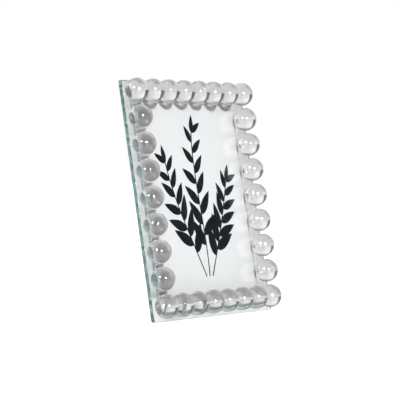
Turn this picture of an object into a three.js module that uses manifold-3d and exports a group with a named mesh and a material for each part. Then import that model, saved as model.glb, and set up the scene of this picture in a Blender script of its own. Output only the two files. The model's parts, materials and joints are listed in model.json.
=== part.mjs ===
// A glass picture frame: a clear plate ringed by solid glass balls, with the print held behind it by a
// second pane, standing on the plate's lower back edge and on a folding leg. Millimetres, +Z up, front
// towards -Y. The origin is on the table, under the middle of the frame's box.

import * as THREE from 'three';
import { mergeVertices } from 'three/addons/utils/BufferGeometryUtils.js';
import Module from 'manifold-3d';

// The print, an upright 20 by 25 cm sheet
const PRINT_WIDTH = 200;
const PRINT_HEIGHT = 250;
const PRINT_THICKNESS = 0.3;

// The front plate, as clear borders round the print
const SIDE_BORDER = 19.7;
const TOP_BORDER = 19;
const BOTTOM_BORDER = 22;
const PLATE_THICKNESS = 5;
const LEAN = THREE.MathUtils.degToRad(10);

// The balls: as many as fit along each edge, evenly spread
const BALL_DIAMETER = 30;
const BALL_GAP_MIN = 0.25;
const BALL_GROUND_DEPTH = 4.9;
const BALL_SIDE_INSET = 13.7;
const BALL_TOP_INSET = 14;
const BALL_BOTTOM_INSET = 17;

// The rear pane and the clear strips that bond it to the plate
const REAR_THICKNESS = 3;
const STRIP_WIDTH = 1.5;
const STRIP_THICKNESS = 0.6;
const PRINT_SIDE_PLAY = 0.25;
const PRINT_GRIP = 4;

// Polished edges
const CORNER_RADIUS = 1.5;
const ARRIS = 0.4;

// The folding leg and its hinge
const HINGE_HEIGHT = 165;
const FOOT_REACH = 66;
const LEG_WIDTH = 20;
const LEG_THICKNESS = 3;
const PIN_RADIUS = 2;
const PIN_HEAD_LIP = 1.2;
const PIN_HEAD_THICKNESS = 1.2;
const KNUCKLE_WALL = 1.9;
const LUG_WIDTH = 5;
const HINGE_PLATE_THICKNESS = 1.5;
const HINGE_PLATE_HEIGHT = 56;
const HINGE_PLATE_TOP_MARGIN = 9;
const HINGE_PLATE_SIDE_MARGIN = 6;
const HINGE_PLATE_CORNER = 4;
const FOOT_WALL = 2.5;
const FOOT_FLOOR = 2;
const FOOT_GRIP = 10;

// Clearances
const BOND_LINE = 0.3;
const SEAT_GAP = 0.3;
const TURNING_GAP = 0.2;

// Facets
const BALL_SIDES = 20;
const BALL_RINGS = 10;
const ROUND_SIDES = 24;
const CORNER_STEPS = 3;

const GLASS = { color: 0xdcefeb, roughness: 0.03, metalness: 0 };
const PAPER = { color: 0xf3f3f1, roughness: 0.6, metalness: 0 };
const CLEAR_STRIP = { color: 0xe6eeee, roughness: 0.25, metalness: 0 };
const SATIN_STEEL = { color: 0xb9babc, roughness: 0.35, metalness: 1 };
const CLEAR_RUBBER = { color: 0xd9dbda, roughness: 0.55, metalness: 0 };

// Sizes that follow from the driving dimensions
const plateWidth = PRINT_WIDTH + 2 * SIDE_BORDER;
const plateHeight = PRINT_HEIGHT + TOP_BORDER + BOTTOM_BORDER;
const ballRadius = BALL_DIAMETER / 2;
const ballFlat = ballRadius - BALL_GROUND_DEPTH;
const ballDepth = -(PLATE_THICKNESS + BOND_LINE + ballFlat);
const pocketDepth = STRIP_THICKNESS + 2 * BOND_LINE;
const stripReach = PRINT_SIDE_PLAY + STRIP_WIDTH;
const rearWidth = PRINT_WIDTH + 2 * stripReach;
const rearBottom = BOTTOM_BORDER - SEAT_GAP - STRIP_WIDTH;
const rearTop = BOTTOM_BORDER + PRINT_HEIGHT - PRINT_GRIP;
const rearBack = pocketDepth + REAR_THICKNESS;
const boreRadius = PIN_RADIUS + TURNING_GAP;
const knuckleRadius = boreRadius + KNUCKLE_WALL;
const pinHeadRadius = PIN_RADIUS + PIN_HEAD_LIP;
const hingePlateBack = rearBack + BOND_LINE + HINGE_PLATE_THICKNESS;
const pinDepth = hingePlateBack + Math.max(knuckleRadius, pinHeadRadius) + SEAT_GAP;
const lugInside = LEG_WIDTH / 2 + SEAT_GAP;
const lugOutside = lugInside + LUG_WIDTH;

// The plate stands on the lower line of its bevelled back edge
const standingDrop = ARRIS * Math.sin(LEAN);

// The pin in the standing pose, and the leg's tilt from upright
const pinBack = pinDepth * Math.cos(LEAN) + HINGE_HEIGHT * Math.sin(LEAN);
const pinUp = HINGE_HEIGHT * Math.cos(LEAN) - pinDepth * Math.sin(LEAN) - standingDrop;
const legTilt = Math.atan2(FOOT_REACH - pinBack, pinUp);
const legOpening = legTilt + LEAN;

// The leg's heel meets the hinge plate when the leg is fully open
const heelRoom = pinDepth - hingePlateBack - SEAT_GAP;
const heelLength = (heelRoom - (LEG_THICKNESS / 2) * Math.cos(legOpening)) / Math.sin(legOpening);
const hingePlateTop = HINGE_HEIGHT + heelLength + HINGE_PLATE_TOP_MARGIN;

const wasm = await Module();
wasm.setup();

function toSolid(geometry) {
  const bare = geometry.clone();
  bare.deleteAttribute('normal');
  bare.deleteAttribute('uv');
  const merged = mergeVertices(bare);
  return new wasm.Manifold(new wasm.Mesh({
    numProp: 3,
    vertProperties: new Float32Array(merged.attributes.position.array),
    triVerts: new Uint32Array(merged.index.array),
  }));
}

function toGeometry(solid) {
  const mesh = solid.getMesh();
  const geometry = new THREE.BufferGeometry();
  geometry.setAttribute('position', new THREE.BufferAttribute(mesh.vertProperties, 3));
  geometry.setIndex(new THREE.BufferAttribute(mesh.triVerts, 1));
  geometry.computeVertexNormals();
  return geometry;
}

function piece(name, geometry, finish) {
  const mesh = new THREE.Mesh(geometry, new THREE.MeshStandardMaterial(finish));
  mesh.name = name;
  return mesh;
}

// An upright sheet with rounded corners: centred on X, standing on z = 0, its back face on y = 0
function sheet(width, height, thickness, corner, arris) {
  const side = width / 2;
  const outline = new THREE.Shape();
  outline.moveTo(side - corner, 0);
  outline.absarc(side - corner, corner, corner, -Math.PI / 2, 0);
  outline.absarc(side - corner, height - corner, corner, 0, Math.PI / 2);
  outline.absarc(corner - side, height - corner, corner, Math.PI / 2, Math.PI);
  outline.absarc(corner - side, corner, corner, Math.PI, 1.5 * Math.PI);
  const geometry = new THREE.ExtrudeGeometry(outline, {
    depth: thickness - 2 * arris,
    curveSegments: CORNER_STEPS,
    bevelEnabled: arris > 0,
    bevelSize: arris,
    bevelOffset: -arris,
    bevelThickness: arris,
    bevelSegments: 1,
  });
  geometry.translate(0, 0, arris);
  const upright = new THREE.Matrix4().makeBasis(
    new THREE.Vector3(1, 0, 0), new THREE.Vector3(0, 0, 1), new THREE.Vector3(0, -1, 0));
  return geometry.applyMatrix4(upright);
}

// A side-view outline, drawn in Y and Z, given its width along X from left to right
function sideProfile(outline, left, right) {
  const geometry = new THREE.ExtrudeGeometry(outline, {
    depth: right - left,
    curveSegments: ROUND_SIDES / 2,
    bevelEnabled: false,
  });
  geometry.translate(0, 0, left);
  const sideways = new THREE.Matrix4().makeBasis(
    new THREE.Vector3(0, 1, 0), new THREE.Vector3(0, 0, 1), new THREE.Vector3(1, 0, 0));
  return geometry.applyMatrix4(sideways);
}

// The pin's bore as a solid to cut away, right through both lugs and the leg between them
function bore() {
  const drill = new THREE.CylinderGeometry(boreRadius, boreRadius, 2 * (lugOutside + SEAT_GAP), ROUND_SIDES);
  return toSolid(drill.rotateZ(Math.PI / 2));
}

// A ball with the flat that is ground on it for bonding, centred on the origin with the flat towards +Y
function ballGeometry() {
  const flatLatitude = Math.asin(ballFlat / ballRadius);
  const profile = [];
  for (let ring = 0; ring <= BALL_RINGS; ring += 1) {
    const latitude = -Math.PI / 2 + (ring / BALL_RINGS) * (flatLatitude + Math.PI / 2);
    const radius = ring === 0 ? 0 : ballRadius * Math.cos(latitude);
    profile.push(new THREE.Vector2(radius, ballRadius * Math.sin(latitude)));
  }
  profile.push(new THREE.Vector2(0, ballFlat));
  return new THREE.LatheGeometry(profile, BALL_SIDES);
}

function ballPlaces() {
  const left = BALL_SIDE_INSET - plateWidth / 2;
  const bottom = BALL_BOTTOM_INSET;
  const top = plateHeight - BALL_TOP_INSET;
  const rowSteps = Math.floor(-2 * left / (BALL_DIAMETER + BALL_GAP_MIN));
  const columnSteps = Math.floor((top - bottom) / (BALL_DIAMETER + BALL_GAP_MIN));
  const places = [];
  for (let i = 0; i <= rowSteps; i += 1) {
    const x = left - (2 * left * i) / rowSteps;
    places.push([`ball_top_${i + 1}`, x, top]);
    places.push([`ball_bottom_${i + 1}`, x, bottom]);
  }
  for (let i = 1; i < columnSteps; i += 1) {
    const z = top + ((bottom - top) * i) / columnSteps;
    places.push([`ball_left_${i}`, left, z]);
    places.push([`ball_right_${i}`, -left, z]);
  }
  return places;
}

function balls() {
  const shape = ballGeometry();
  return ballPlaces().map(([name, x, z]) => {
    const ball = piece(name, shape.clone(), GLASS);
    ball.position.set(x, ballDepth, z);
    return ball;
  });
}

function panes() {
  const frontShape = sheet(plateWidth, plateHeight, PLATE_THICKNESS, CORNER_RADIUS, ARRIS);
  const rearShape = sheet(rearWidth, rearTop - rearBottom, REAR_THICKNESS, CORNER_RADIUS, ARRIS);
  const front = piece('front_glass', frontShape, GLASS);
  const rear = piece('rear_glass', rearShape, GLASS);
  rear.position.set(0, rearBack, rearBottom);
  return [front, rear];
}

function print() {
  const shape = new THREE.BoxGeometry(PRINT_WIDTH, PRINT_THICKNESS, PRINT_HEIGHT);
  const sheetOfPaper = piece('photo_print', shape, PAPER);
  sheetOfPaper.position.set(0, pocketDepth / 2, BOTTOM_BORDER + PRINT_HEIGHT / 2);
  return sheetOfPaper;
}

// Two uprights beside the print and one bar under it; the pocket is open at the top
function bondStrips() {
  const uprightHeight = rearTop - BOTTOM_BORDER;
  const upright = new THREE.BoxGeometry(STRIP_WIDTH, STRIP_THICKNESS, uprightHeight);
  const lying = new THREE.BoxGeometry(rearWidth, STRIP_THICKNESS, STRIP_WIDTH);
  const strips = [];
  for (const [name, side] of [['bond_strip_left', -1], ['bond_strip_right', 1]]) {
    const strip = piece(name, upright.clone(), CLEAR_STRIP);
    const x = side * (PRINT_WIDTH / 2 + PRINT_SIDE_PLAY + STRIP_WIDTH / 2);
    strip.position.set(x, pocketDepth / 2, BOTTOM_BORDER + uprightHeight / 2);
    strips.push(strip);
  }
  const bar = piece('bond_strip_bottom', lying, CLEAR_STRIP);
  bar.position.set(0, pocketDepth / 2, rearBottom + STRIP_WIDTH / 2);
  strips.push(bar);
  return strips;
}

// The bonded plate and its two lugs, in one piece, with the pin's axis on the origin
function hingePlate() {
  const width = 2 * (lugOutside + HINGE_PLATE_SIDE_MARGIN);
  const base = sheet(width, HINGE_PLATE_HEIGHT, HINGE_PLATE_THICKNESS, HINGE_PLATE_CORNER, 0);
  base.translate(0, hingePlateBack - pinDepth, hingePlateTop - HINGE_PLATE_HEIGHT - HINGE_HEIGHT);
  const root = hingePlateBack - HINGE_PLATE_THICKNESS / 2 - pinDepth;
  const lug = new THREE.Shape();
  lug.moveTo(root, -knuckleRadius);
  lug.absarc(0, 0, knuckleRadius, -Math.PI / 2, Math.PI / 2);
  lug.lineTo(root, knuckleRadius);
  const solid = toSolid(base)
    .add(toSolid(sideProfile(lug, lugInside, lugOutside)))
    .add(toSolid(sideProfile(lug, -lugOutside, -lugInside)))
    .subtract(bore());
  const plate = piece('hinge_plate', toGeometry(solid), SATIN_STEEL);
  plate.position.set(0, pinDepth, HINGE_HEIGHT);
  return plate;
}

function hingePin() {
  const shank = lugOutside + SEAT_GAP;
  const end = shank + PIN_HEAD_THICKNESS;
  const profile = [
    new THREE.Vector2(0, -end),
    new THREE.Vector2(pinHeadRadius, -end),
    new THREE.Vector2(pinHeadRadius, -shank),
    new THREE.Vector2(PIN_RADIUS, -shank),
    new THREE.Vector2(PIN_RADIUS, shank),
    new THREE.Vector2(pinHeadRadius, shank),
    new THREE.Vector2(pinHeadRadius, end),
    new THREE.Vector2(0, end),
  ];
  const pin = piece('hinge_pin', new THREE.LatheGeometry(profile, ROUND_SIDES), SATIN_STEEL);
  pin.rotation.z = -Math.PI / 2;
  pin.position.set(0, pinDepth, HINGE_HEIGHT);
  return pin;
}

// The leg hangs from the pin along its own -Z, and its foot is cut level with the table when the leg is open
function leg() {
  const half = LEG_THICKNESS / 2;
  const pocketHalf = half + SEAT_GAP;
  const footHalf = pocketHalf + FOOT_WALL;
  const tableAt = (depth) => -(pinUp + depth * Math.sin(legTilt)) / Math.cos(legTilt);
  const pocketFloor = tableAt(-footHalf) + FOOT_FLOOR;
  const strapEnd = pocketFloor + SEAT_GAP;
  const footTop = pocketFloor + FOOT_GRIP;
  const neck = Math.acos(half / knuckleRadius);

  const strap = new THREE.Shape();
  strap.moveTo(-half, strapEnd);
  strap.lineTo(half, strapEnd);
  strap.absarc(0, 0, knuckleRadius, -neck, neck);
  strap.lineTo(half, heelLength);
  strap.lineTo(-half, heelLength);
  strap.absarc(0, 0, knuckleRadius, Math.PI - neck, Math.PI + neck);
  const drilled = toSolid(sideProfile(strap, -LEG_WIDTH / 2, LEG_WIDTH / 2)).subtract(bore());

  const shoe = new THREE.Shape();
  shoe.moveTo(-footHalf, tableAt(-footHalf));
  shoe.lineTo(footHalf, tableAt(footHalf));
  shoe.lineTo(footHalf, footTop);
  shoe.lineTo(pocketHalf, footTop);
  shoe.lineTo(pocketHalf, pocketFloor);
  shoe.lineTo(-pocketHalf, pocketFloor);
  shoe.lineTo(-pocketHalf, footTop);
  shoe.lineTo(-footHalf, footTop);

  const group = new THREE.Group();
  group.add(piece('easel_leg', toGeometry(drilled), SATIN_STEEL));
  group.add(piece('leg_foot', sideProfile(shoe, -LEG_WIDTH / 2, LEG_WIDTH / 2), CLEAR_RUBBER));
  group.position.set(0, pinBack, pinUp);
  group.rotation.x = legTilt;
  return group;
}

// Everything on the plate leans back about the plate's lower back edge, which stands on the table
const leaning = new THREE.Group();
leaning.add(...panes(), ...balls(), print(), ...bondStrips(), hingePlate(), hingePin());
leaning.rotation.x = -LEAN;
leaning.position.z = -standingDrop;

const pictureFrame = new THREE.Group();
pictureFrame.add(leaning, leg());
const box = new THREE.Box3().setFromObject(pictureFrame, true);
pictureFrame.position.set(-(box.min.x + box.max.x) / 2, -(box.min.y + box.max.y) / 2, -box.min.z);
pictureFrame.updateMatrixWorld(true);

export default pictureFrame;
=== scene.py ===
# %% [markdown]
# # A glass picture frame with a border of glass balls
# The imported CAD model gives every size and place. This script only dresses it, so it starts by
# loading that model, and every piece made below rides on one of its bodies.

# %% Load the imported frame
import json
import math

import bmesh
import bpy
from mathutils import Matrix, Vector


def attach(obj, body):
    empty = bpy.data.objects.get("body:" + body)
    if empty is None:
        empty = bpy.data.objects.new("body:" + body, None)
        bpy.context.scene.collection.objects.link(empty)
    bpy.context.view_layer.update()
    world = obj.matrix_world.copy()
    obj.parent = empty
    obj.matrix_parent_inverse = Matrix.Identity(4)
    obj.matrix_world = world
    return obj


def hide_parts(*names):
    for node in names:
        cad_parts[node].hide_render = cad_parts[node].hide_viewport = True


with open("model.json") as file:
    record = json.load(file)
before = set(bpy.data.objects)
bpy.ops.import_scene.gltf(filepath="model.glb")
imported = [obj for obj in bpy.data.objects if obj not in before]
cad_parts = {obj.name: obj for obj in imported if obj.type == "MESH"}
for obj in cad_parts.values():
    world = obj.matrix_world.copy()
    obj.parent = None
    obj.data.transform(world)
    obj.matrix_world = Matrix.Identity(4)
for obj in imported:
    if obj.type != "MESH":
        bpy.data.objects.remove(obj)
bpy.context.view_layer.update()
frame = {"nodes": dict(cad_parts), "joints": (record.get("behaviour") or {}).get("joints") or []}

scene = bpy.context.scene
scene.view_settings.view_transform = "Standard"

# %% [markdown]
# ## Working upright on a thing that leans
# The whole frame leans back, so a plain box in world axes is awkward to place. The print slides along
# the frame's own upward direction, and its joint says which way that is. From that one axis comes a
# turned set of axes: across, into the depth, and up the glass. Pieces are built in those axes and
# turned into the world at the end.

# %% The leaning axes
slide_joint = next(j for j in frame["joints"] if j["name"] == "print_slide")
up_glass = Vector(slide_joint["axis"]).normalized()
across = Vector((1.0, 0.0, 0.0))
into_depth = up_glass.cross(across)
lean = Matrix((across, into_depth, up_glass)).transposed().to_4x4()
unlean = lean.inverted()


def leaning_box(node):
    """Lowest and highest corner of a CAD node, measured in the leaning axes."""
    corners = [unlean @ vertex.co for vertex in frame["nodes"][node].data.vertices]
    low = Vector([min(c[axis] for c in corners) for axis in range(3)])
    high = Vector([max(c[axis] for c in corners) for axis in range(3)])
    return low, high


plate_low, plate_high = leaning_box("front_glass")
print("lean: %.2f degrees" % math.degrees(up_glass.angle(Vector((0, 0, 1)))))
print("front plate: %.1f x %.1f x %.1f mm" % tuple(1000 * (plate_high - plate_low)))

# %% [markdown]
# ## Making a piece
# Each piece is a mesh with its place already in its points. It rides on a body, takes its finish from
# a named slot, and may stand in for CAD nodes, which are then hidden.


# %% A helper for finished pieces
def add_piece(name, mesh, materials, body, nodes=()):
    obj = bpy.data.objects.new(name, mesh)
    scene.collection.objects.link(obj)
    for material in materials[len(mesh.materials):]:
        mesh.materials.append(material)
    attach(obj, body)
    if nodes:
        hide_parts(*nodes)
    print(name, "has", len(mesh.polygons), "faces on", body)
    return obj


# %% [markdown]
# ## Clear glass with a green-blue depth
# Float glass looks clear across its thickness and green-blue along its length, because a little iron in
# it takes out red light. A tinted surface can't show that. Volume Absorption can: light loses red for
# every centimetre it travels inside, so faces stay clear and edges turn teal by themselves. The ground
# edges are a touch rougher than the faces, so an attribute called edge tells the shader which is which.


# %% The float glass
def new_material(name):
    material = bpy.data.materials.new(name)
    material.use_nodes = True
    nodes = material.node_tree.nodes
    nodes.clear()
    output = nodes.new("ShaderNodeOutputMaterial")
    shader = nodes.new("ShaderNodeBsdfPrincipled")
    material.node_tree.links.new(shader.outputs["BSDF"], output.inputs["Surface"])
    return material, nodes, material.node_tree.links, shader, output


def noise_on_object(nodes, links, scale, detail, stretch=(1.0, 1.0, 1.0)):
    place = nodes.new("ShaderNodeTexCoord")
    mapping = nodes.new("ShaderNodeMapping")
    mapping.inputs["Scale"].default_value = stretch
    noise = nodes.new("ShaderNodeTexNoise")
    noise.inputs["Scale"].default_value = scale
    noise.inputs["Detail"].default_value = detail
    links.new(place.outputs["Object"], mapping.inputs["Vector"])
    links.new(mapping.outputs["Vector"], noise.inputs["Vector"])
    return noise.outputs["Fac"]


def mapped(nodes, links, source, low, high, start=0.0, end=1.0):
    ramp = nodes.new("ShaderNodeMapRange")
    ramp.inputs["From Min"].default_value = start
    ramp.inputs["From Max"].default_value = end
    ramp.inputs["To Min"].default_value = low
    ramp.inputs["To Max"].default_value = high
    links.new(source, ramp.inputs["Value"])
    return ramp.outputs["Result"]


def float_glass(name, tint, density):
    material, nodes, links, shader, output = new_material(name)
    shader.inputs["Base Color"].default_value = (1.0, 1.0, 1.0, 1.0)
    shader.inputs["IOR"].default_value = 1.52
    shader.inputs["Transmission Weight"].default_value = 1.0
    edge = nodes.new("ShaderNodeAttribute")
    edge.attribute_name = "edge"
    wheel = noise_on_object(nodes, links, 900.0, 2.0)
    polish = mapped(nodes, links, wheel, 0.03, 0.12)
    only_edge = nodes.new("ShaderNodeMath")
    only_edge.operation = "MULTIPLY"
    links.new(polish, only_edge.inputs[0])
    links.new(edge.outputs["Fac"], only_edge.inputs[1])
    links.new(only_edge.outputs["Value"], shader.inputs["Roughness"])
    absorb = nodes.new("ShaderNodeVolumeAbsorption")
    absorb.inputs["Color"].default_value = (*tint, 1.0)
    absorb.inputs["Density"].default_value = density
    links.new(absorb.outputs["Volume"], output.inputs["Volume"])
    return material


plate_glass = float_glass("float_glass", (0.0, 0.71, 0.68), 2.1)
print("made", plate_glass.name)

# %% [markdown]
# ## The two panes
# A pane is a sheet with rounded corners and a small ground chamfer, the arris, along every edge. It could
# be a box with a Bevel modifier, but rings of points drawn from the outline keep each size exact and
# let the edge faces carry their attribute.


# %% A ground and polished pane
CORNER_RADIUS = 0.0015
ARRIS = 0.0004
CORNER_POINTS = 7
ARRIS_STEPS = 3


def rounded_ring(low, high, depth, inset):
    radius = CORNER_RADIUS - inset
    corners = (
        (high.x, high.z, 0.0),
        (low.x, high.z, 0.5),
        (low.x, low.z, 1.0),
        (high.x, low.z, 1.5),
    )
    ring = []
    for x, z, half_turns in corners:
        centre_x = x - math.copysign(CORNER_RADIUS, x - (low.x + high.x) / 2)
        centre_z = z - math.copysign(CORNER_RADIUS, z - (low.z + high.z) / 2)
        for step in range(CORNER_POINTS):
            angle = math.pi * (half_turns + 0.5 * step / (CORNER_POINTS - 1))
            ring.append((centre_x + radius * math.cos(angle), depth, centre_z + radius * math.sin(angle)))
    return ring


def pane_mesh(name, low, high):
    sections = []
    for step in range(ARRIS_STEPS):
        turn = 0.5 * math.pi * step / (ARRIS_STEPS - 1)
        sections.append((low.y + ARRIS * (1 - math.cos(turn)), ARRIS * (1 - math.sin(turn))))
    sections += [(low.y + high.y - depth, inset) for depth, inset in reversed(sections)]
    bm = bmesh.new()
    rings = []
    for depth, inset in sections:
        rings.append([bm.verts.new(point) for point in rounded_ring(low, high, depth, inset)])
    edge = bm.faces.layers.float.new("edge")
    for front, behind in zip(rings, rings[1:]):
        for i in range(len(front)):
            j = (i + 1) % len(front)
            face = bm.faces.new((front[i], front[j], behind[j], behind[i]))
            face[edge] = 1.0
            face.smooth = True
    bm.faces.new(rings[0])
    bm.faces.new(rings[-1])
    bmesh.ops.recalc_face_normals(bm, faces=bm.faces)
    bm.transform(lean)
    mesh = bpy.data.meshes.new(name)
    bm.to_mesh(mesh)
    bm.free()
    mesh.set_sharp_from_angle(angle=math.radians(50))
    for face in mesh.polygons:
        face.use_smooth = len(face.vertices) == 4
    return mesh


front_pane = add_piece(
    "front_pane", pane_mesh("front_pane", plate_low, plate_high),
    [plate_glass], "frame", ["front_glass"],
)
rear_low, rear_high = leaning_box("rear_glass")
rear_pane = add_piece(
    "rear_pane", pane_mesh("rear_pane", rear_low, rear_high),
    [plate_glass], "frame", ["rear_glass"],
)

# %% [markdown]
# ## Clear ball glass
# The balls are solid, and clearer than the plate. Full transmission with no roughness gives the body.
# The lamps' small round glints could come from that alone, but a perfect mirror is found by few rays, so
# a thin Coat with a trace of roughness carries them. A faint Bump keeps the skin from looking too exact.
# A clear ball gathers light, so its shadow is pale in the middle and dark at the rim. Real caustics need
# many samples. Here shadow rays go straight through where the skin faces them, and the rim stops them.

# %% The clear ball glass
ball_glass, nodes, links, shader, output = new_material("clear_ball_glass")
shader.inputs["Base Color"].default_value = (1.0, 1.0, 1.0, 1.0)
shader.inputs["IOR"].default_value = 1.52
shader.inputs["Transmission Weight"].default_value = 1.0
shader.inputs["Roughness"].default_value = 0.0
shader.inputs["Coat Weight"].default_value = 0.7
shader.inputs["Coat Roughness"].default_value = 0.06
waviness = nodes.new("ShaderNodeBump")
waviness.inputs["Strength"].default_value = 0.01
waviness.inputs["Distance"].default_value = 0.001
links.new(noise_on_object(nodes, links, 120.0, 1.0), waviness.inputs["Height"])
links.new(waviness.outputs["Normal"], shader.inputs["Normal"])
absorb = nodes.new("ShaderNodeVolumeAbsorption")
absorb.inputs["Color"].default_value = (0.30, 0.36, 0.42, 1.0)
absorb.inputs["Density"].default_value = 1.0
links.new(absorb.outputs["Volume"], output.inputs["Volume"])
facing = nodes.new("ShaderNodeLayerWeight").outputs["Facing"]
let_through = nodes.new("ShaderNodeMath")
let_through.operation = "MULTIPLY"
links.new(mapped(nodes, links, facing, 0.85, 0.0, 0.15, 0.35), let_through.inputs[0])
links.new(nodes.new("ShaderNodeLightPath").outputs["Is Shadow Ray"], let_through.inputs[1])
pale_shadow = nodes.new("ShaderNodeMixShader")
links.new(let_through.outputs["Value"], pale_shadow.inputs["Fac"])
links.new(shader.outputs["BSDF"], pale_shadow.inputs[1])
links.new(nodes.new("ShaderNodeBsdfTransparent").outputs["BSDF"], pale_shadow.inputs[2])
links.new(pale_shadow.outputs["Shader"], output.inputs["Surface"])
print("made", ball_glass.name)

# %% [markdown]
# ## Short words for node trees
# A Geometry Nodes tree takes many lines in code. Three helpers shorten it: one starts a tree with named
# inputs, one adds a node and joins its sockets, and one adds a Math node.


# %% Helpers for node trees
def node_group(name, inputs):
    tree = bpy.data.node_groups.new(name, "GeometryNodeTree")
    tree.interface.new_socket("Geometry", in_out="OUTPUT", socket_type="NodeSocketGeometry")
    tree.interface.new_socket("Geometry", in_out="INPUT", socket_type="NodeSocketGeometry")
    for label, kind in inputs:
        tree.interface.new_socket(label, in_out="INPUT", socket_type=kind)
    return tree


def add_node(tree, kind, values=(), **settings):
    node = tree.nodes.new(kind)
    for key, value in settings.items():
        setattr(node, key, value)
    for socket, source in dict(values).items():
        if isinstance(source, bpy.types.NodeSocket):
            tree.links.new(source, node.inputs[socket])
        else:
            node.inputs[socket].default_value = source
    return node


def math_node(tree, operation, first, second=0.0):
    return add_node(tree, "ShaderNodeMath", {0: first, 1: second}, operation=operation).outputs[0]


# %% [markdown]
# ## Three sizes of ball
# Each ball is a glass sphere with a flat ground on it, bonded to the plate. Real ones differ by a hair, so
# three sizes are made, all with their fronts in line, and a Boolean grinds the flat of each. The adhesive
# fills the thin gap that the CAD leaves, so the flat is drawn down to the plate, and a hair into it:
# light then passes from ball to plate as through one block, which makes the side of the ball glow teal.

# %% Balls with their flats
BALL_SHARES = (0.992, 0.988, 0.9845)
balls = node_group("ball_border", (
    ("Ball Radius", "NodeSocketFloat"),
    ("Flat Distance", "NodeSocketFloat"),
    ("Seed", "NodeSocketInt"),
    ("Row Count", "NodeSocketInt"),
    ("Column Count", "NodeSocketInt"),
    ("Row Length", "NodeSocketFloat"),
    ("Column Length", "NodeSocketFloat"),
    ("Glass", "NodeSocketMaterial"),
))
given = add_node(balls, "NodeGroupInput").outputs
grinder_place = add_node(balls, "ShaderNodeCombineXYZ", {
    "Z": math_node(balls, "ADD", given["Flat Distance"], 0.05),
})
grinder = add_node(balls, "GeometryNodeMeshCube", {"Size": (0.1, 0.1, 0.1)})
grinder_moved = add_node(balls, "GeometryNodeTransform", {
    "Geometry": grinder.outputs["Mesh"], "Translation": grinder_place.outputs["Vector"],
})
facing = add_node(balls, "GeometryNodeInputNormal")
facing_z = add_node(balls, "ShaderNodeSeparateXYZ", {"Vector": facing.outputs["Normal"]})
not_flat = math_node(balls, "LESS_THAN", facing_z.outputs["Z"], 0.9999)
ball_sizes = add_node(balls, "GeometryNodeJoinGeometry")
for share in BALL_SHARES:
    radius = math_node(balls, "MULTIPLY", given["Ball Radius"], share)
    sphere = add_node(balls, "GeometryNodeMeshUVSphere", {"Segments": 56, "Rings": 36, "Radius": radius})
    to_front = add_node(balls, "ShaderNodeCombineXYZ", {
        "Z": math_node(balls, "SUBTRACT", radius, given["Ball Radius"]),
    })
    sphere_moved = add_node(balls, "GeometryNodeTransform", {
        "Geometry": sphere.outputs["Mesh"], "Translation": to_front.outputs["Vector"],
    })
    ground = add_node(balls, "GeometryNodeMeshBoolean", {
        "Mesh 1": sphere_moved.outputs["Geometry"], "Mesh 2": grinder_moved.outputs["Geometry"],
    }, operation="DIFFERENCE")
    rounded = add_node(balls, "GeometryNodeSetShadeSmooth", {
        "Geometry": ground.outputs["Mesh"], "Selection": not_flat,
    })
    turned = add_node(balls, "GeometryNodeTransform", {
        "Geometry": rounded.outputs["Geometry"], "Rotation": (-math.pi / 2, 0.0, 0.0),
    })
    size = add_node(balls, "GeometryNodeGeometryToInstance", {"Geometry": turned.outputs["Geometry"]})
    balls.links.new(size.outputs["Instances"], ball_sizes.inputs["Geometry"])
print("sizes of ball:", len(BALL_SHARES))

# %% [markdown]
# ## Rows and columns
# The border is two rows and two columns that share their corners. Mesh Line lays evenly stepped points,
# and the columns leave out their first and last place. A seeded pick puts one of the sizes on each point,
# and Realize Instances turns them all into one mesh.


# %% Points for the border and a ball on each
def ball_line(count, corner, step):
    """A straight line of points from a corner, with an even step."""
    start = add_node(balls, "ShaderNodeCombineXYZ", corner)
    offset = add_node(balls, "ShaderNodeCombineXYZ", step)
    return add_node(balls, "GeometryNodeMeshLine", {
        "Count": count,
        "Start Location": start.outputs["Vector"],
        "Offset": offset.outputs["Vector"],
    }).outputs["Mesh"]


half_row = math_node(balls, "MULTIPLY", given["Row Length"], 0.5)
half_column = math_node(balls, "MULTIPLY", given["Column Length"], 0.5)
left = math_node(balls, "MULTIPLY", half_row, -1.0)
bottom = math_node(balls, "MULTIPLY", half_column, -1.0)
row_gaps = math_node(balls, "SUBTRACT", given["Row Count"], 1.0)
column_gaps = math_node(balls, "SUBTRACT", given["Column Count"], 1.0)
row_step = math_node(balls, "DIVIDE", given["Row Length"], row_gaps)
column_step = math_node(balls, "DIVIDE", given["Column Length"], column_gaps)
between = math_node(balls, "SUBTRACT", given["Column Count"], 2.0)
first_between = math_node(balls, "ADD", bottom, column_step)
points = add_node(balls, "GeometryNodeJoinGeometry")
for line in (
    ball_line(given["Row Count"], {"X": left, "Z": bottom}, {"X": row_step}),
    ball_line(given["Row Count"], {"X": left, "Z": half_column}, {"X": row_step}),
    ball_line(between, {"X": left, "Z": first_between}, {"Z": column_step}),
    ball_line(between, {"X": half_row, "Z": first_between}, {"Z": column_step}),
):
    balls.links.new(line, points.inputs["Geometry"])
which = add_node(balls, "FunctionNodeRandomValue", {"Seed": given["Seed"]}, data_type="INT")
which.inputs[4].default_value = 0
which.inputs[5].default_value = len(BALL_SHARES) - 1
placed = add_node(balls, "GeometryNodeInstanceOnPoints", {
    "Points": points.outputs["Geometry"],
    "Instance": ball_sizes.outputs["Geometry"],
    "Pick Instance": True,
    "Instance Index": which.outputs[2],
})
real = add_node(balls, "GeometryNodeRealizeInstances", {"Geometry": placed.outputs["Instances"]})
dressed_balls = add_node(balls, "GeometryNodeSetMaterial", {
    "Geometry": real.outputs["Geometry"], "Material": given["Glass"],
})
add_node(balls, "NodeGroupOutput", {"Geometry": dressed_balls.outputs["Geometry"]})
print("the ball tree has", len(balls.nodes), "nodes")

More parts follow.
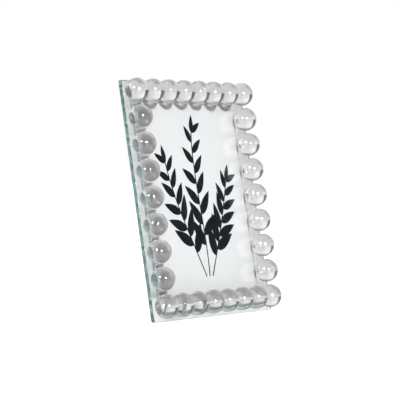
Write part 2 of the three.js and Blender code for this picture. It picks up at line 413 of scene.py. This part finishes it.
# %% [markdown]
# ## From a tree to a mesh
# A modifier runs the tree. Its inputs are set by socket identifier, since names can repeat. The result is
# copied into a plain mesh and the modifier goes, so nothing live is left behind.


# %% Turning a tree's result into a plain mesh
def grown_mesh(tree, values, name, start=None):
    """Runs a tree on an object, with its inputs set by identifier, and returns the plain mesh."""
    obj = start or bpy.data.objects.new(name, bpy.data.meshes.new(name))
    if start is None:
        scene.collection.objects.link(obj)
    modifier = obj.modifiers.new(name, "NODES")
    modifier.node_group = tree
    sockets = [s for s in tree.interface.items_tree if s.item_type == "SOCKET" and s.in_out == "INPUT"]
    for socket in sockets:
        if socket.name in values:
            modifier[socket.identifier] = values[socket.name]
    evaluated = obj.evaluated_get(bpy.context.evaluated_depsgraph_get())
    mesh = bpy.data.meshes.new_from_object(evaluated)
    obj.modifiers.remove(modifier)
    bpy.data.objects.remove(obj)
    mesh.name = name
    return mesh


# %% [markdown]
# ## The border in its place
# The CAD's first and last ball give the radius, the depth and the length of the rows and columns. The
# radius is cut by a twentieth of a millimetre, so that the smooth balls stay inside the faceted ones.

# %% The ball border
ball_nodes = [name for name in frame["nodes"] if name.startswith("ball_")]
first_low, first_high = leaning_box("ball_bottom_1")
last_low, last_high = leaning_box("ball_top_8")
cad_radius = (first_high.x - first_low.x) / 2
ball_radius = cad_radius - 0.00005
bond_sink = 0.00003
ball_depth = first_low.y + cad_radius
flat_distance = plate_low.y + bond_sink - ball_depth
middle = (first_low + first_high + last_low + last_high) / 4
ball_mesh = grown_mesh(balls, {
    "Ball Radius": ball_radius,
    "Flat Distance": flat_distance,
    "Seed": 935,
    "Row Count": 8,
    "Column Count": 9,
    "Row Length": last_low.x - first_low.x,
    "Column Length": last_low.z - first_low.z,
    "Glass": ball_glass,
}, "ball_border")
ball_mesh.transform(lean @ Matrix.Translation((middle.x, ball_depth, middle.z)))
ball_border = add_piece("ball_border", ball_mesh, [ball_glass], "frame", ball_nodes)
print("ball radius %.2f mm, flat at %.2f mm" % (1000 * ball_radius, 1000 * flat_distance))

# %% [markdown]
# ## The print
# Any picture can stand in the frame. This one is a sheet of matt white paper with a plain botanical
# drawing in black: three slender stems with lance-shaped leaves. A picture made of an image file would
# blur up close, so the ink is a film of real faces. Geometry Nodes follow each stem's curve and set a
# leaf at every step, on one side and then on the other, smaller towards the tip.

# %% Paper and ink
paper, nodes, links, shader, output = new_material("matt_paper")
fibre = noise_on_object(nodes, links, 700.0, 6.0)
tone = nodes.new("ShaderNodeMix")
tone.data_type = "RGBA"
tone.inputs["A"].default_value = (0.86, 0.865, 0.875, 1.0)
tone.inputs["B"].default_value = (0.90, 0.905, 0.915, 1.0)
links.new(fibre, tone.inputs["Factor"])
links.new(tone.outputs["Result"], shader.inputs["Base Color"])
links.new(mapped(nodes, links, fibre, 0.62, 0.76), shader.inputs["Roughness"])
shader.inputs["Specular IOR Level"].default_value = 0.05
tooth = nodes.new("ShaderNodeBump")
tooth.inputs["Strength"].default_value = 0.12
tooth.inputs["Distance"].default_value = 0.0002
links.new(fibre, tooth.inputs["Height"])
links.new(tooth.outputs["Normal"], shader.inputs["Normal"])

ink, nodes, links, shader, output = new_material("black_ink")
soak = noise_on_object(nodes, links, 260.0, 4.0)
tone = nodes.new("ShaderNodeMix")
tone.data_type = "RGBA"
tone.inputs["A"].default_value = (0.002, 0.003, 0.005, 1.0)
tone.inputs["B"].default_value = (0.005, 0.007, 0.011, 1.0)
shader.inputs["Specular IOR Level"].default_value = 0.1
links.new(soak, tone.inputs["Factor"])
links.new(tone.outputs["Result"], shader.inputs["Base Color"])
links.new(mapped(nodes, links, soak, 0.35, 0.55), shader.inputs["Roughness"])
print("made", paper.name, "and", ink.name)

# %% [markdown]
# ## One leaf
# A leaf is drawn once, one unit long, as an outline with a thin film's depth. Its half width follows a
# sine that is pushed towards the base, which gives a lance its slender point.

# %% A lance-shaped leaf
INK_FILM = 0.00004
LEAF_STEPS = 12


def leaf_half_width(t):
    return 0.5 * math.sin(math.pi * t ** 0.8) ** 0.85 * (1 - 0.25 * t)


leaf_bm = bmesh.new()
outline = [(t / LEAF_STEPS, leaf_half_width(t / LEAF_STEPS)) for t in range(1, LEAF_STEPS)]
outline = [(0.0, 0.0)] + outline + [(1.0, 0.0)] + [(t, -w) for t, w in reversed(outline)]
faces_of_leaf = []
for depth in (-1.0, 0.0):
    faces_of_leaf.append([leaf_bm.verts.new((t, depth * INK_FILM, w)) for t, w in outline])
leaf_bm.faces.new(faces_of_leaf[0])
leaf_bm.faces.new(faces_of_leaf[1])
for i in range(len(outline)):
    j = (i + 1) % len(outline)
    leaf_bm.faces.new((faces_of_leaf[0][i], faces_of_leaf[0][j], faces_of_leaf[1][j], faces_of_leaf[1][i]))
bmesh.ops.recalc_face_normals(leaf_bm, faces=leaf_bm.faces)
leaf_mesh = bpy.data.meshes.new("leaf_shape")
leaf_bm.to_mesh(leaf_mesh)
leaf_bm.free()
leaf_shape = bpy.data.objects.new("leaf_shape", leaf_mesh)
scene.collection.objects.link(leaf_shape)
print("leaf outline has", len(outline), "points")

# %% [markdown]
# ## Stations along a stem
# Curve to Points walks along the stem and gives the heading at each station, and a stored attribute says
# how far along it is. From that come the leaf's size, smaller towards the tip, and a bare lower stem.

# %% Where the leaves go
sprig = node_group("leafy_stem", (
    ("Leaf", "NodeSocketObject"),
    ("Leaf Length", "NodeSocketFloat"),
    ("Leaf Width", "NodeSocketFloat"),
    ("Leaf Count", "NodeSocketInt"),
    ("Leaf Angle", "NodeSocketFloat"),
    ("Stem Width", "NodeSocketFloat"),
    ("Film", "NodeSocketFloat"),
    ("Seed", "NodeSocketInt"),
    ("Ink", "NodeSocketMaterial"),
))
given = add_node(sprig, "NodeGroupInput").outputs
along = add_node(sprig, "GeometryNodeSplineParameter").outputs["Factor"]
marked = add_node(sprig, "GeometryNodeStoreNamedAttribute", {
    "Geometry": given["Geometry"], "Name": "along", "Value": along,
}, data_type="FLOAT", domain="POINT")
stations = add_node(sprig, "GeometryNodeCurveToPoints", {
    "Curve": marked.outputs["Geometry"], "Count": given["Leaf Count"],
}, mode="COUNT")
heading = add_node(sprig, "ShaderNodeSeparateXYZ", {"Vector": stations.outputs["Tangent"]})
stem_angle = math_node(sprig, "ARCTAN2", heading.outputs["Z"], heading.outputs["X"])
where = add_node(
    sprig, "GeometryNodeInputNamedAttribute", {"Name": "along"}, data_type="FLOAT").outputs["Attribute"]
leaf_info = add_node(sprig, "GeometryNodeObjectInfo", {"Object": given["Leaf"]})
taper = math_node(sprig, "SUBTRACT", 1.0, math_node(sprig, "MULTIPLY", where, 0.5))
wander = add_node(sprig, "FunctionNodeRandomValue", {"Seed": given["Seed"]}, data_type="FLOAT")
wander.inputs[2].default_value = -0.16
wander.inputs[3].default_value = 0.16
index = add_node(sprig, "GeometryNodeInputIndex").outputs["Index"]
odd = math_node(sprig, "MODULO", index, 2.0)
leafy = math_node(sprig, "GREATER_THAN", where, 0.16)
length_now = math_node(sprig, "MULTIPLY", given["Leaf Length"], taper)
width_now = math_node(sprig, "MULTIPLY", given["Leaf Width"], taper)
leaf_size = add_node(sprig, "ShaderNodeCombineXYZ", {"X": length_now, "Y": 1.0, "Z": width_now})
print("the leaf tree has", len(sprig.interface.items_tree), "sockets")

# %% [markdown]
# ## Leaves and stem
# Leaves go to the left and the right by odd and even number, each turned from the stem by the leaf angle
# and a little seeded wander, with one more at the tip. The stem is the same curve with a flat section.

# %% Leaves on both sides, and the stem
all_ink = add_node(sprig, "GeometryNodeJoinGeometry")
for side, chosen in ((1.0, odd), (-1.0, math_node(sprig, "SUBTRACT", 1.0, odd))):
    spread = math_node(sprig, "ADD", given["Leaf Angle"], wander.outputs[1])
    turn = math_node(sprig, "ADD", stem_angle, math_node(sprig, "MULTIPLY", spread, side))
    rotation = add_node(sprig, "ShaderNodeCombineXYZ", {"Y": math_node(sprig, "MULTIPLY", turn, -1.0)})
    leaves = add_node(sprig, "GeometryNodeInstanceOnPoints", {
        "Points": stations.outputs["Points"],
        "Selection": math_node(sprig, "MULTIPLY", chosen, leafy),
        "Instance": leaf_info.outputs["Geometry"],
        "Rotation": rotation.outputs["Vector"],
        "Scale": leaf_size.outputs["Vector"],
    })
    sprig.links.new(leaves.outputs["Instances"], all_ink.inputs["Geometry"])
tip_rotation = add_node(sprig, "ShaderNodeCombineXYZ", {"Y": math_node(sprig, "MULTIPLY", stem_angle, -1.0)})
tip = add_node(sprig, "GeometryNodeInstanceOnPoints", {
    "Points": stations.outputs["Points"],
    "Selection": math_node(sprig, "GREATER_THAN", where, 0.999),
    "Instance": leaf_info.outputs["Geometry"],
    "Rotation": tip_rotation.outputs["Vector"],
    "Scale": leaf_size.outputs["Vector"],
})
sprig.links.new(tip.outputs["Instances"], all_ink.inputs["Geometry"])
slim = math_node(sprig, "SUBTRACT", 1.0, math_node(sprig, "MULTIPLY", along, 0.7))
tapered = add_node(sprig, "GeometryNodeSetCurveRadius", {"Curve": given["Geometry"], "Radius": slim})
section = add_node(sprig, "GeometryNodeCurvePrimitiveQuadrilateral", {
    "Width": given["Film"], "Height": given["Stem Width"],
})
stem = add_node(sprig, "GeometryNodeCurveToMesh", {
    "Curve": tapered.outputs["Curve"], "Profile Curve": section.outputs["Curve"], "Fill Caps": True,
})
sprig.links.new(stem.outputs["Mesh"], all_ink.inputs["Geometry"])
real = add_node(sprig, "GeometryNodeRealizeInstances", {"Geometry": all_ink.outputs["Geometry"]})
inked = add_node(sprig, "GeometryNodeSetMaterial", {
    "Geometry": real.outputs["Geometry"], "Material": given["Ink"],
})
add_node(sprig, "NodeGroupOutput", {"Geometry": inked.outputs["Geometry"]})
print("the leaf tree has", len(sprig.nodes), "nodes")

# %% [markdown]
# ## Three stems
# Each stem is a smooth NURBS curve through four points, measured from the middle of the sheet. They start
# close together at the foot and spread, and the tree above gives all three their leaves at once.

# %% Three stems on the paper
sheet_low, sheet_high = leaning_box("photo_print")
STEMS = (
    ((0.004, -0.098), (0.010, -0.040), (-0.004, 0.030), (0.006, 0.082)),
    ((-0.002, -0.098), (-0.022, -0.050), (-0.046, -0.006), (-0.054, 0.044)),
    ((0.010, -0.098), (0.032, -0.056), (0.050, -0.020), (0.064, 0.020)),
)
stems = bpy.data.curves.new("stems", "CURVE")
stems.dimensions = "3D"
stems.twist_mode = "Z_UP"
for route in STEMS:
    spline = stems.splines.new("NURBS")
    spline.points.add(len(route) - 1)
    for point, (x, z) in zip(spline.points, route):
        point.co = (x, 0.0, z, 1.0)
    spline.use_endpoint_u = True
    spline.order_u = 4
    spline.resolution_u = 24
stems_obj = bpy.data.objects.new("stems", stems)
scene.collection.objects.link(stems_obj)
ink_mesh = grown_mesh(sprig, {
    "Leaf": leaf_shape,
    "Leaf Length": 0.046,
    "Leaf Width": 0.0180,
    "Leaf Count": 15,
    "Leaf Angle": 0.72,
    "Stem Width": 0.0019,
    "Film": INK_FILM,
    "Seed": 7,
    "Ink": ink,
}, "stems_ink", stems_obj)
bpy.data.objects.remove(leaf_shape)
print("ink film has", len(ink_mesh.polygons), "faces")

# %% [markdown]
# ## Ink on paper
# The sheet is a thin box with a hair of bevel, so that its edges catch light. The ink film joins the same
# mesh under its own material. Both ride on the print's body, so the drawing slides out with the paper.

# %% The printed sheet
sheet_bm = bmesh.new()
bmesh.ops.create_cube(sheet_bm, size=1.0)
sheet_size = sheet_high - sheet_low
sheet_middle = (sheet_high + sheet_low) / 2
sheet_bm.transform(Matrix.Translation(sheet_middle) @ Matrix.Diagonal((*sheet_size, 1.0)))
bmesh.ops.bevel(
    sheet_bm, geom=sheet_bm.edges[:], offset=0.00006, segments=1, affect="EDGES", profile=0.5)
ink_bm = bmesh.new()
ink_bm.from_mesh(ink_mesh)
bmesh.ops.remove_doubles(ink_bm, verts=ink_bm.verts, dist=1e-7)
ink_bm.transform(Matrix.Translation((sheet_middle.x, sheet_low.y - INK_FILM / 2, sheet_middle.z)))
for face in ink_bm.faces:
    face.material_index = 1
ink_bm.to_mesh(ink_mesh)
ink_bm.free()
sheet_bm.from_mesh(ink_mesh)
sheet_bm.transform(lean)
sheet_mesh = bpy.data.meshes.new("printed_sheet")
sheet_bm.to_mesh(sheet_mesh)
sheet_bm.free()
printed_sheet = add_piece(
    "printed_sheet", sheet_mesh, [paper, ink], "print", ["photo_print"])

# %% [markdown]
# ## Bond strips
# Three thin clear strips hold the panes apart and leave the pocket for the print. Their CAD shape is
# right, so they stay, with a clear acrylic finish that has a faint grain.

# %% The clear strips
clear_strip, nodes, links, shader, output = new_material("clear_strip")
shader.inputs["Base Color"].default_value = (0.97, 0.98, 0.98, 1.0)
shader.inputs["IOR"].default_value = 1.47
shader.inputs["Transmission Weight"].default_value = 1.0
links.new(
    mapped(nodes, links, noise_on_object(nodes, links, 500.0, 3.0), 0.05, 0.22), shader.inputs["Roughness"])
strips = [frame["nodes"][n] for n in ("bond_strip_left", "bond_strip_right", "bond_strip_bottom")]
for strip in strips:
    strip.material_slots[0].material = clear_strip
print("strips:", len(strips))

# %% [markdown]
# ## Hinge and leg
# Behind the rear pane a small steel hinge carries a folding leg with a pale rubber shoe. The steel is
# brushed along its length: noise stretched along one axis drives the tone, the roughness and a little
# bump. The rubber is cloudy, so a soft noise varies its tone, and it lets a little light in.

# %% Brushed steel and pale rubber
steel, nodes, links, shader, output = new_material("brushed_steel")
shader.inputs["Metallic"].default_value = 1.0
brushed = noise_on_object(nodes, links, 60.0, 5.0, (40.0, 6.0, 1.0))
tone = nodes.new("ShaderNodeMix")
tone.data_type = "RGBA"
tone.inputs["A"].default_value = (0.56, 0.57, 0.58, 1.0)
tone.inputs["B"].default_value = (0.72, 0.73, 0.74, 1.0)
links.new(brushed, tone.inputs["Factor"])
links.new(tone.outputs["Result"], shader.inputs["Base Color"])
links.new(mapped(nodes, links, brushed, 0.24, 0.42), shader.inputs["Roughness"])
lines = nodes.new("ShaderNodeBump")
lines.inputs["Strength"].default_value = 0.15
lines.inputs["Distance"].default_value = 0.0001
links.new(brushed, lines.inputs["Height"])
links.new(lines.outputs["Normal"], shader.inputs["Normal"])

rubber, nodes, links, shader, output = new_material("pale_rubber")
cloud = noise_on_object(nodes, links, 220.0, 3.0)
tone = nodes.new("ShaderNodeMix")
tone.data_type = "RGBA"
tone.inputs["A"].default_value = (0.78, 0.80, 0.80, 1.0)
tone.inputs["B"].default_value = (0.90, 0.91, 0.91, 1.0)
links.new(cloud, tone.inputs["Factor"])
links.new(tone.outputs["Result"], shader.inputs["Base Color"])
shader.inputs["Transmission Weight"].default_value = 0.25
shader.inputs["IOR"].default_value = 1.42
links.new(mapped(nodes, links, cloud, 0.3, 0.45), shader.inputs["Roughness"])
print("made", steel.name, "and", rubber.name)

# %% [markdown]
# ## Softened edges
# The CAD shapes are right but have knife-sharp edges, and no bent or pressed metal has those. Each gets a
# copy whose points are merged, with smooth shading and a small Bevel that catches a line of light.


# %% Bevelled copies of the CAD shapes
def softened(name, node, material, body, width):
    bm = bmesh.new()
    bm.from_mesh(frame["nodes"][node].data)
    bmesh.ops.remove_doubles(bm, verts=bm.verts, dist=1e-6)
    bmesh.ops.dissolve_limit(bm, angle_limit=math.radians(1), verts=bm.verts, edges=bm.edges)
    for face in bm.faces:
        face.smooth = True
    mesh = bpy.data.meshes.new(name)
    bm.to_mesh(mesh)
    bm.free()
    mesh.set_sharp_from_angle(angle=math.radians(35))
    obj = add_piece(name, mesh, [material], body, [node])
    bevel = obj.modifiers.new("soft_edges", "BEVEL")
    bevel.width = width
    bevel.segments = 2
    bevel.limit_method = "ANGLE"
    bevel.angle_limit = math.radians(35)
    bevel.harden_normals = True
    return obj


hinge_leaf = softened("hinge_leaf", "hinge_plate", steel, "frame", 0.0003)
hinge_rivet = softened("hinge_rivet", "hinge_pin", steel, "frame", 0.0003)
leg = softened("support_leg", "easel_leg", steel, "leg", 0.0004)
shoe = softened("leg_shoe", "leg_foot", rubber, "leg", 0.0005)

# %% [markdown]
# ## Letting light through the panes
# A path tracer finds small lamps from a surface by aiming straight at them, and clear glass in the way
# would count as a solid wall. The panes and strips are flat and clear, so they are left out of shadows
# and of bounced light: the print behind them is then lit cleanly, while the eye still sees real glass.
# Light that runs along a pane bounces many times inside it, so the limits on bounces are raised.

# %% Light through glass
for clear_piece in [front_pane, rear_pane, *strips]:
    clear_piece.visible_shadow = False
    clear_piece.visible_diffuse = False
scene.cycles.max_bounces = 72
scene.cycles.glossy_bounces = 64
scene.cycles.transmission_bounces = 32
scene.cycles.transparent_max_bounces = 16
scene.cycles.caustics_refractive = False
scene.cycles.caustics_reflective = False
print("glossy bounces:", scene.cycles.glossy_bounces)

# %% [markdown]
# ## Camera
# The view is from the front left and a little above the middle. A long lens from more than two metres
# keeps the far side of the frame nearly as large as the near side.

# %% Camera
camera_data = bpy.data.cameras.new("camera")
camera_data.sensor_width = 36.0
camera_data.lens = 166.99
camera = bpy.data.objects.new("camera", camera_data)
scene.collection.objects.link(camera)
scene.camera = camera
CAMERA_TURN = math.radians(52.79)
CAMERA_RISE = math.radians(1.35)
CAMERA_DISTANCE = 2.2694
aim = Vector((-0.01519, -0.01423, 0.14286))
towards_camera = Vector((
    -math.sin(CAMERA_TURN) * math.cos(CAMERA_RISE),
    -math.cos(CAMERA_TURN) * math.cos(CAMERA_RISE),
    math.sin(CAMERA_RISE),
))
camera.location = aim + CAMERA_DISTANCE * towards_camera
camera.rotation_euler = (-towards_camera).to_track_quat("-Z", "Y").to_euler()
camera_data.clip_end = 100.0
print("camera %.2f m away, lens %.0f mm" % (CAMERA_DISTANCE, camera_data.lens))

# %% [markdown]
# ## A white table
# Lamps strong enough to light the table to pure white would wash out the print. So the lamps stay low,
# and camera rays see an added glow on the table: it turns white, and it still keeps the frame's shadow.
# Rays that come through glass at a low slant see a weaker glow close to the frame. It is painted light that
# fills the frame's shadow there, so the strip of plate under the bottom row stays bright.

# %% Table
TABLE_RADIUS = 12.0
table_mesh = bpy.data.meshes.new("table")
table_bm = bmesh.new()
bmesh.ops.create_circle(table_bm, cap_ends=True, segments=96, radius=TABLE_RADIUS)
table_bm.to_mesh(table_mesh)
table_bm.free()
table = bpy.data.objects.new("table", table_mesh)
scene.collection.objects.link(table)
white, nodes, links, shader, output = new_material("white_table")
shader.inputs["Base Color"].default_value = (0.86, 0.86, 0.86, 1.0)
shader.inputs["Roughness"].default_value = 0.3
path = nodes.new("ShaderNodeLightPath").outputs
spot = nodes.new("ShaderNodeTexCoord").outputs["Object"]
away = add_node(white.node_tree, "ShaderNodeVectorMath", {0: spot}, operation="LENGTH").outputs["Value"]
# Painted light: an emission glow on the table close to the frame lifts the frame's shadow there
painted_glow_near_frame = mapped(nodes, links, away, 0.4, 0.0, 0.22, 0.30)
slant = mapped(nodes, links, nodes.new("ShaderNodeLayerWeight").outputs["Facing"], 0.0, 1.0, 0.86, 0.90)


def table_math(operation, *values):
    return add_node(
        white.node_tree, "ShaderNodeMath", dict(enumerate(values)), operation=operation).outputs[0]


# The painted glow near the frame is seen only by rays that came through glass at a low slant
painted_glow_through_glass = table_math("MULTIPLY", table_math("MULTIPLY", painted_glow_near_frame, slant), path["Is Transmission Ray"])
glow = table_math("MULTIPLY_ADD", path["Is Camera Ray"], 0.7, painted_glow_through_glass)
lift = add_node(white.node_tree, "ShaderNodeEmission", {"Strength": glow})
both = nodes.new("ShaderNodeAddShader")
links.new(shader.outputs["BSDF"], both.inputs[0])
links.new(lift.outputs["Emission"], both.inputs[1])
links.new(both.outputs["Shader"], output.inputs["Surface"])
table_mesh.materials.append(white)
print("table is %.0f m across" % (2 * TABLE_RADIUS))

# %% [markdown]
# ## Lamps
# Two round lamps beside the camera leave two small glints on every ball. Sun lamps reach all balls from one
# direction, as far lamps do. Only mirror rays see these two. A key lights the matt surfaces, so every ball
# throws one clear shadow on the print. The key is hidden from mirror and glass rays, so it leaves no glint.

# %% Two round lamps and a key
right_of_camera = (-towards_camera).cross(Vector((0, 0, 1))).normalized()
above_camera = towards_camera.cross(right_of_camera)


def round_lamp(name, sideways, upwards, forwards, width, radiance):
    direction = (
        sideways * right_of_camera + upwards * above_camera + forwards * towards_camera).normalized()
    data = bpy.data.lights.new(name, "SUN")
    data.angle = math.radians(width)
    data.energy = radiance * math.pi * math.sin(data.angle / 2) ** 2
    lamp = bpy.data.objects.new(name, data)
    lamp.rotation_euler = (-direction).to_track_quat("-Z", "Y").to_euler()
    scene.collection.objects.link(lamp)
    return lamp


left_lamp = round_lamp("left_lamp", -0.42, 0.31, 0.84, 13, 70.0)
right_lamp = round_lamp("right_lamp", 0.39, 0.195, 0.90, 13, 85.0)
for glint_lamp in (left_lamp, right_lamp):
    glint_lamp.visible_diffuse = False
    glint_lamp.visible_transmission = False
soft_key = round_lamp("soft_key", 0.39, 0.37, 0.80, 7, 218.0)
soft_key.visible_glossy = False
soft_key.visible_transmission = False

# %% [markdown]
# ## A room for the glass to show
# Clear glass has no colour of its own: it shows the room. An image of a room could wrap the world, but a
# few ramps over two angles, the rise above the horizon and the turn to the right of the view, say as
# much and stay sharp. These helpers measure the angles and lay brightness along them.

# %% Helpers for the world
world = bpy.data.worlds.new("studio")
scene.world = world
world.use_nodes = True
nodes, links = world.node_tree.nodes, world.node_tree.links
nodes.clear()


def world_math(operation, first, second=0.0):
    return add_node(world.node_tree, "ShaderNodeMath", {0: first, 1: second}, operation=operation).outputs[0]


def facing_part(axis_vector):
    dot = add_node(world.node_tree, "ShaderNodeVectorMath", {1: axis_vector}, operation="DOT_PRODUCT")
    links.new(place.outputs["Generated"], dot.inputs[0])
    return dot.outputs["Value"]


def brightness_ramp(angle, low, high, stops):
    """Brightness along an angle, from stops given in degrees."""
    ramp = nodes.new("ShaderNodeValToRGB")
    ramp.color_ramp.interpolation = "EASE"
    elements = ramp.color_ramp.elements
    while len(elements) < len(stops):
        elements.new(0.5)
    for element, (degrees, value) in zip(elements, stops):
        element.position = (degrees - low) / (high - low)
        element.color = (value, value, value, 1.0)
    span = mapped(nodes, links, angle, 0.0, 1.0, math.radians(low), math.radians(high))
    links.new(span, ramp.inputs["Fac"])
    return ramp.outputs["Color"]


place = nodes.new("ShaderNodeTexCoord")
print("world:", world.name)

# %% [markdown]
# ## What glass sees
# Through glass the room has a bright wall, a dim ceiling and one dark card that stands at the left. The
# balls turn that card over and draw it as the dark crescents down their right sides. A small dark flag
# stands where the inner face of the plate would mirror the wall and veil the black ink.

# %% The room through glass
ahead = Vector((-towards_camera.x, -towards_camera.y, 0.0)).normalized()
rise = world_math("ARCSINE", facing_part((0.0, 0.0, 1.0)))
turn = world_math("ARCTAN2", facing_part(right_of_camera), facing_part(ahead))
by_rise = brightness_ramp(rise, -90.0, 90.0, (
    (-10.0, 0.74), (0.0, 0.74), (12.0, 0.84), (24.0, 0.97), (35.0, 0.94),
    (44.0, 0.44), (53.0, 0.22), (90.0, 0.22),
))
by_turn = brightness_ramp(turn, -180.0, 180.0, (
    (-180.0, 0.50), (-110.0, 0.95), (-84.0, 0.95), (-74.0, 0.02), (-38.0, 0.02), (-32.0, 1.0),
    (-16.0, 1.0), (4.0, 0.84), (52.0, 0.80), (100.0, 0.80), (116.0, 0.35), (150.0, 0.35), (180.0, 0.60),
))
card_foot = mapped(nodes, links, rise, 0.0, 1.0, math.radians(-1), math.radians(3))
by_turn = add_node(world.node_tree, "ShaderNodeMix", {0: card_foot, 2: 1.0, 3: by_turn}).outputs[0]
mirror = Vector((0.797, -0.576, 0.183))
flag_rim, flag_core = math.cos(math.radians(10)), math.cos(math.radians(6))
flag = mapped(nodes, links, facing_part(mirror), 1.0, 0.04, flag_rim, flag_core)
seen_through = world_math("MULTIPLY", world_math("MULTIPLY", by_rise, by_turn), flag)
print("card and flag set, mirror direction", tuple(round(v, 3) for v in mirror))

# %% [markdown]
# ## One sky for each kind of ray
# Light Path tells the rays apart. The camera sees plain white behind the frame. Shiny faces see a room that
# is dark in front of the frame and bright behind it, so the plate stays clear. What is left is the soft
# light that falls on matt things, and more of it comes from behind, so the frame's back isn't gloomy.

# %% The sky
reflected = mapped(nodes, links, facing_part(-into_depth), 0.85, 0.02, 0.1, 0.5)
path = nodes.new("ShaderNodeLightPath").outputs
strength = mapped(nodes, links, facing_part(-into_depth), 0.50, 0.36, -0.4, 0.2)
skies = (("Is Glossy Ray", reflected), ("Is Transmission Ray", seen_through), ("Is Camera Ray", 1.0))
for ray, value in skies:
    strength = add_node(world.node_tree, "ShaderNodeMix", {0: path[ray], 2: strength, 3: value}).outputs[0]
sky = add_node(world.node_tree, "ShaderNodeBackground", {"Color": (1.0, 1.0, 1.0, 1.0), "Strength": strength})
add_node(world.node_tree, "ShaderNodeOutputWorld", {"Surface": sky.outputs["Background"]})
print("world nodes:", len(nodes))
